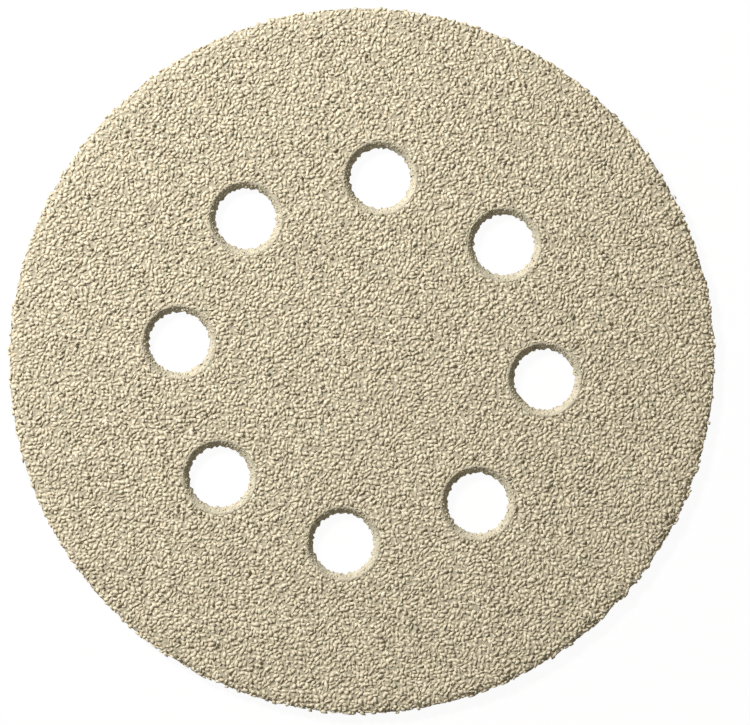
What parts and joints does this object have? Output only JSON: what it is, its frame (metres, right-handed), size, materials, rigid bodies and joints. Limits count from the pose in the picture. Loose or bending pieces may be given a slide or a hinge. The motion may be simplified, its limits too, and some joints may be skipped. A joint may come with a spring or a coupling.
{
  "type": "hook and loop sanding disc",
  "caption": "Round sanding disc of grit-coated paper on a loop fabric backing, with a ring of punched dust holes whose lips roll down into the fabric.",
  "frame": {"origin": "centre of the face that the disc rests on, which is the loops", "axes": "+Z out of the grit face, +X through the first dust hole"},
  "size_m": [0.125, 0.125, 0.0021],
  "materials": {
    "bonded_grit": "coarse abrasive grain bonded to paper in pale tan resin",
    "loop_fabric": "off-white brushed knit with short loops"
  },
  "bodies": {
    "root": {"abrasive_sheet": "bonded_grit", "loop_backing": "loop_fabric"}
  },
  "joints": []
}
